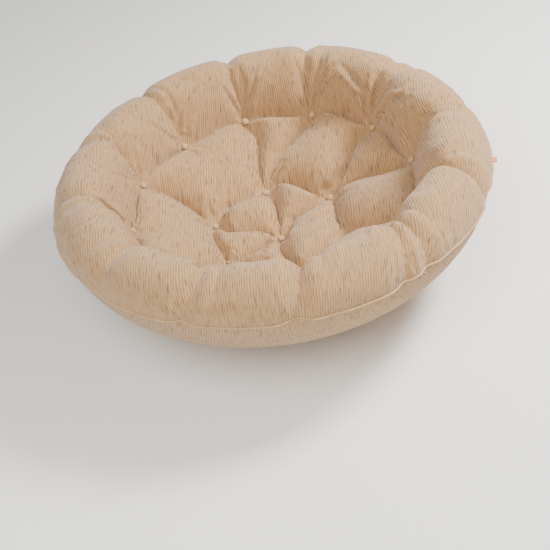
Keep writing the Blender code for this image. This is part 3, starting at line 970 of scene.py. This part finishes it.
def fold_lines():
    """Small loose folds that fan out from the tufts: points on the flat cloth, depth and width."""
    rng = np.random.default_rng(41)
    lines = []
    t = np.linspace(0.0, 1.0, 24)
    for name in TUFTS:
        start = unrolled(name)
        outer = name.startswith("outer")
        home = math.atan2(start[1], start[0])
        count = int(rng.integers(6, 9)) if outer else int(rng.integers(3, 6))
        for number in range(count):
            onto_roll = outer and number < count - 2
            way = home + rng.uniform(-1.15, 1.15) if onto_roll else rng.uniform(0.0, math.tau)
            length = rng.uniform(0.10, 0.21) if onto_roll else rng.uniform(0.05, 0.11)
            bow = rng.uniform(-0.14, 0.14) * length
            along = np.array([math.cos(way), math.sin(way)])
            side = np.array([-along[1], along[0]])
            path = (start + along * (0.012 + length * t[:, None])
                    + side * (bow * np.sin(math.pi * t * rng.uniform(0.8, 1.4)))[:, None])
            depth = rng.uniform(0.0035, 0.0085) * np.sin(math.pi * np.clip(t * 0.9 + 0.1, 0, 1)) ** 0.7
            lines.append((path, depth, rng.uniform(0.014, 0.026), rng.choice([-1.0, 1.0])))
    for number in range(26):
        turn = rng.uniform(0.0, math.tau)
        top = TOP.arc[-1] - rng.uniform(0.0, 0.02)
        length = rng.uniform(0.05, 0.13)
        lean = rng.uniform(-0.5, 0.5)
        arc = top - length * t
        angle = turn + lean * length * t / top
        path = np.stack([np.cos(angle), np.sin(angle)], 1) * arc[:, None]
        depth = rng.uniform(0.002, 0.005) * (1 - t) ** 0.6
        lines.append((path, depth, rng.uniform(0.012, 0.022), rng.choice([-1.0, 1.0])))
    return lines


def press_folds(obj):
    """Presses the small folds and the puckers round each button into the settled cloth."""
    data = obj.data
    points = read_points(data)
    normals = np.empty(len(points) * 3, dtype=np.float32)
    data.vertices.foreach_get("normal", normals)
    normals = normals.reshape(-1, 3).astype(float)
    spots = np.empty(len(points) * 3, dtype=np.float32)
    data.attributes["cloth"].data.foreach_get("vector", spots)
    spots = spots.reshape(-1, 3)[:, :2].astype(float)
    across = np.array([math.sin(RIB_TURN), -math.cos(RIB_TURN)])
    along = np.array([math.cos(RIB_TURN), math.sin(RIB_TURN)])
    flat = spots[:, :1] * across + spots[:, 1:] * along
    push = np.zeros(len(points))
    for path, depth, width, hand in fold_lines():
        low, high = path.min(0) - 2 * width, path.max(0) + 2 * width
        inside = np.nonzero(np.all((flat > low) & (flat < high), axis=1))[0]
        if not len(inside):
            continue
        offset = flat[inside][:, None, :] - path[None]
        gap = np.linalg.norm(offset, axis=2)
        best = gap.argmin(1)
        pick = np.arange(len(inside))
        away = gap[pick, best]
        run = np.gradient(path, axis=0)[best]
        spot = offset[pick, best]
        lean = hand * np.sign(run[:, 0] * spot[:, 1] - run[:, 1] * spot[:, 0]) * away
        valley = np.clip(1.0 - away / width, 0.0, None) ** 2
        ridge = np.exp(-((lean - 0.8 * width) / (0.45 * width)) ** 2) * (away < 2 * width)
        push[inside] += depth[best] * (0.55 * ridge - valley)
    rng = np.random.default_rng(77)
    for top, _ in TUFTS.values():
        offset = points - top
        near = np.linalg.norm(offset, axis=1)
        turn = np.arctan2(offset[:, 1], offset[:, 0])
        count = int(rng.integers(8, 12))
        wave = (np.sin(count * turn + rng.uniform(0, math.tau))
                + 0.6 * np.sin((count + 5) * turn + rng.uniform(0, math.tau)))
        ring = np.clip((near - 0.009) / 0.008, 0.0, 1.0) * np.clip(1.0 - near / 0.055, 0.0, 1.0) ** 1.5
        push += wave * ring * 0.0022
    edge = smooth((TOP.arc[-1] - np.linalg.norm(flat, axis=1)) / 0.012)
    points = points + normals * (push * edge)[:, None]
    for top, foot in TUFTS.values():
        axis = (top - foot) / np.linalg.norm(top - foot)
        offset = points - top
        along = offset @ axis
        aside = np.linalg.norm(offset - along[:, None] * axis, axis=1)
        limit = 0.75 * np.maximum(aside - BUTTON_RADIUS * 1.15, 0.0) - 0.0003
        over = np.where((aside < 0.034) & (along < 0.05), np.maximum(along - limit, 0.0), 0.0)
        points -= over[:, None] * axis
    write_points(data, points)


cloth_look = slub_cloth("slub_weave_cover", "cloth")
# Paler, lit copy of the cover cloth (painted light) for the buttons and the seam lip.
lit_cloth_look = slub_cloth("slub_weave_painted_light", None, 0.55)
fill_look = wadding("fibre_wadding")
thread_look = twine("seam_thread", (0.50, 0.37, 0.25), 2600.0)
cord_look = twine("waxed_twine", (0.62, 0.50, 0.36), 1800.0)
tab_look = ribbon("ribbon_weave", (0.80, 0.22, 0.15))

cover_top, top_points, top_plan = top_panel()
edge_all = top_points[-6 * TOP_RINGS:]
cover_under, under_points, under_plan = under_panel(edge_all[::2])
lay_cloth(cover_top, top_plan)
lay_cloth(cover_under, under_plan)
subdivide(cover_top)
subdivide(cover_under)
press_folds(cover_top)
cover_top.name = "cover_top_panel"
cover_under.name = "cover_under_panel"

filling = mesh_object("fibre_filling", *fill_shape(top_points, under_points))
tidy_normals(filling)
lip = mesh_object("seam_allowance", *lip_shape(edge_all))
tidy_normals(lip)
stitches = mesh_object("seam_stitches", *stitch_shape(edge_all))
tidy_normals(stitches)
tab = mesh_object("ribbon_tab", *tab_shape(edge_all))
tidy_normals(tab)

for piece, look, slot, nodes in (
        (cover_top, cloth_look, "cover_fabric", ("top_cover",)),
        (cover_under, cloth_look, "cover_fabric", ("bottom_cover",)),
        (filling, fill_look, "fibre", ("fibre_fill",)),
        # The seam lip uses the lit copy of the cloth, which is painted lighter than the cover.
        (lip, lit_cloth_look, "cover_fabric", ()),
        (stitches, thread_look, "seam_thread", ("edge_seam_thread",)),
        (tab, tab_look, "tab_ribbon", ("label_tab",))):
    piece.data.materials.clear()
    piece.data.materials.append(look)
    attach(piece, "root")
    if nodes:
        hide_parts(*nodes)

for number, (name, (top, foot)) in enumerate(TUFTS.items()):
    axis = (top - foot) / np.linalg.norm(top - foot)
    points, faces = button_shape(100 + number)
    button = mesh_object("button_cap_" + name, to_axis(points, top + axis * 0.0003, axis), faces)
    points, faces = knot_shape(float(np.linalg.norm(top - foot)), 200 + number)
    tie = mesh_object("twine_tie_" + name, to_axis(points, foot, axis), faces)
    for piece, look, slot, kind in (
            (button, lit_cloth_look, "cover_fabric", "button_"),
            (tie, cord_look, "tie_cord", "tie_")):
        tidy_normals(piece)
        piece.data.materials.append(look)
        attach(piece, "root")
        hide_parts(kind + name)


# ---------------------------------------------------------------- floor, light and camera

floor_data = bpy.data.meshes.new("floor")
floor_data.from_pydata([(-9, -9, 0), (9, -9, 0), (9, 9, 0), (-9, 9, 0)], [], [(0, 1, 2, 3)])
floor = bpy.data.objects.new("floor", floor_data)
bpy.context.scene.collection.objects.link(floor)
floor_look, _, _ = material("pale_floor", (0.92, 0.92, 0.91), 0.9)
floor_data.materials.append(floor_look)

world = bpy.data.worlds.new("studio")
bpy.context.scene.world = world
world.use_nodes = True
world.node_tree.nodes["Background"].inputs["Color"].default_value = (1.0, 0.99, 0.97, 1.0)
world.node_tree.nodes["Background"].inputs["Strength"].default_value = 0.44


def softbox(name, spot, aim, size, power, colour=(1.0, 0.97, 0.93)):
    data = bpy.data.lights.new(name, "AREA")
    data.shape = "SQUARE"
    data.size = size
    data.energy = power
    data.color = colour
    obj = bpy.data.objects.new(name, data)
    obj.location = spot
    obj.rotation_euler = (Vector(aim) - Vector(spot)).to_track_quat("-Z", "Y").to_euler()
    bpy.context.scene.collection.objects.link(obj)


softbox("key", (2.1, 0.1, 2.4), (0.0, 0.0, 0.2), 0.8, 185.0)
softbox("fill", (-0.9, -1.7, 2.5), (0.0, 0.0, 0.2), 2.0, 92.0)

ELEVATION = math.radians(39.2)
CAMERA_TURN = math.radians(-96.3)
CAMERA_ROLL = math.radians(10.6)
DISTANCE = 2.81
aim = Vector(TUFTS["centre"][0])
way = Vector((math.cos(CAMERA_TURN) * math.cos(ELEVATION),
              math.sin(CAMERA_TURN) * math.cos(ELEVATION),
              math.sin(ELEVATION)))
camera_data = bpy.data.cameras.new("camera")
camera_data.lens = 65.45
camera_data.sensor_width = 36.0
camera_data.shift_x = -0.0127
camera_data.shift_y = -0.0655
camera = bpy.data.objects.new("camera", camera_data)
facing = (-way).to_track_quat("-Z", "Y").to_matrix().to_4x4()
camera.matrix_world = (Matrix.Translation(aim + way * DISTANCE) @ facing
                       @ Matrix.Rotation(-CAMERA_ROLL, 4, "Z"))
bpy.context.scene.collection.objects.link(camera)
bpy.context.scene.camera = camera
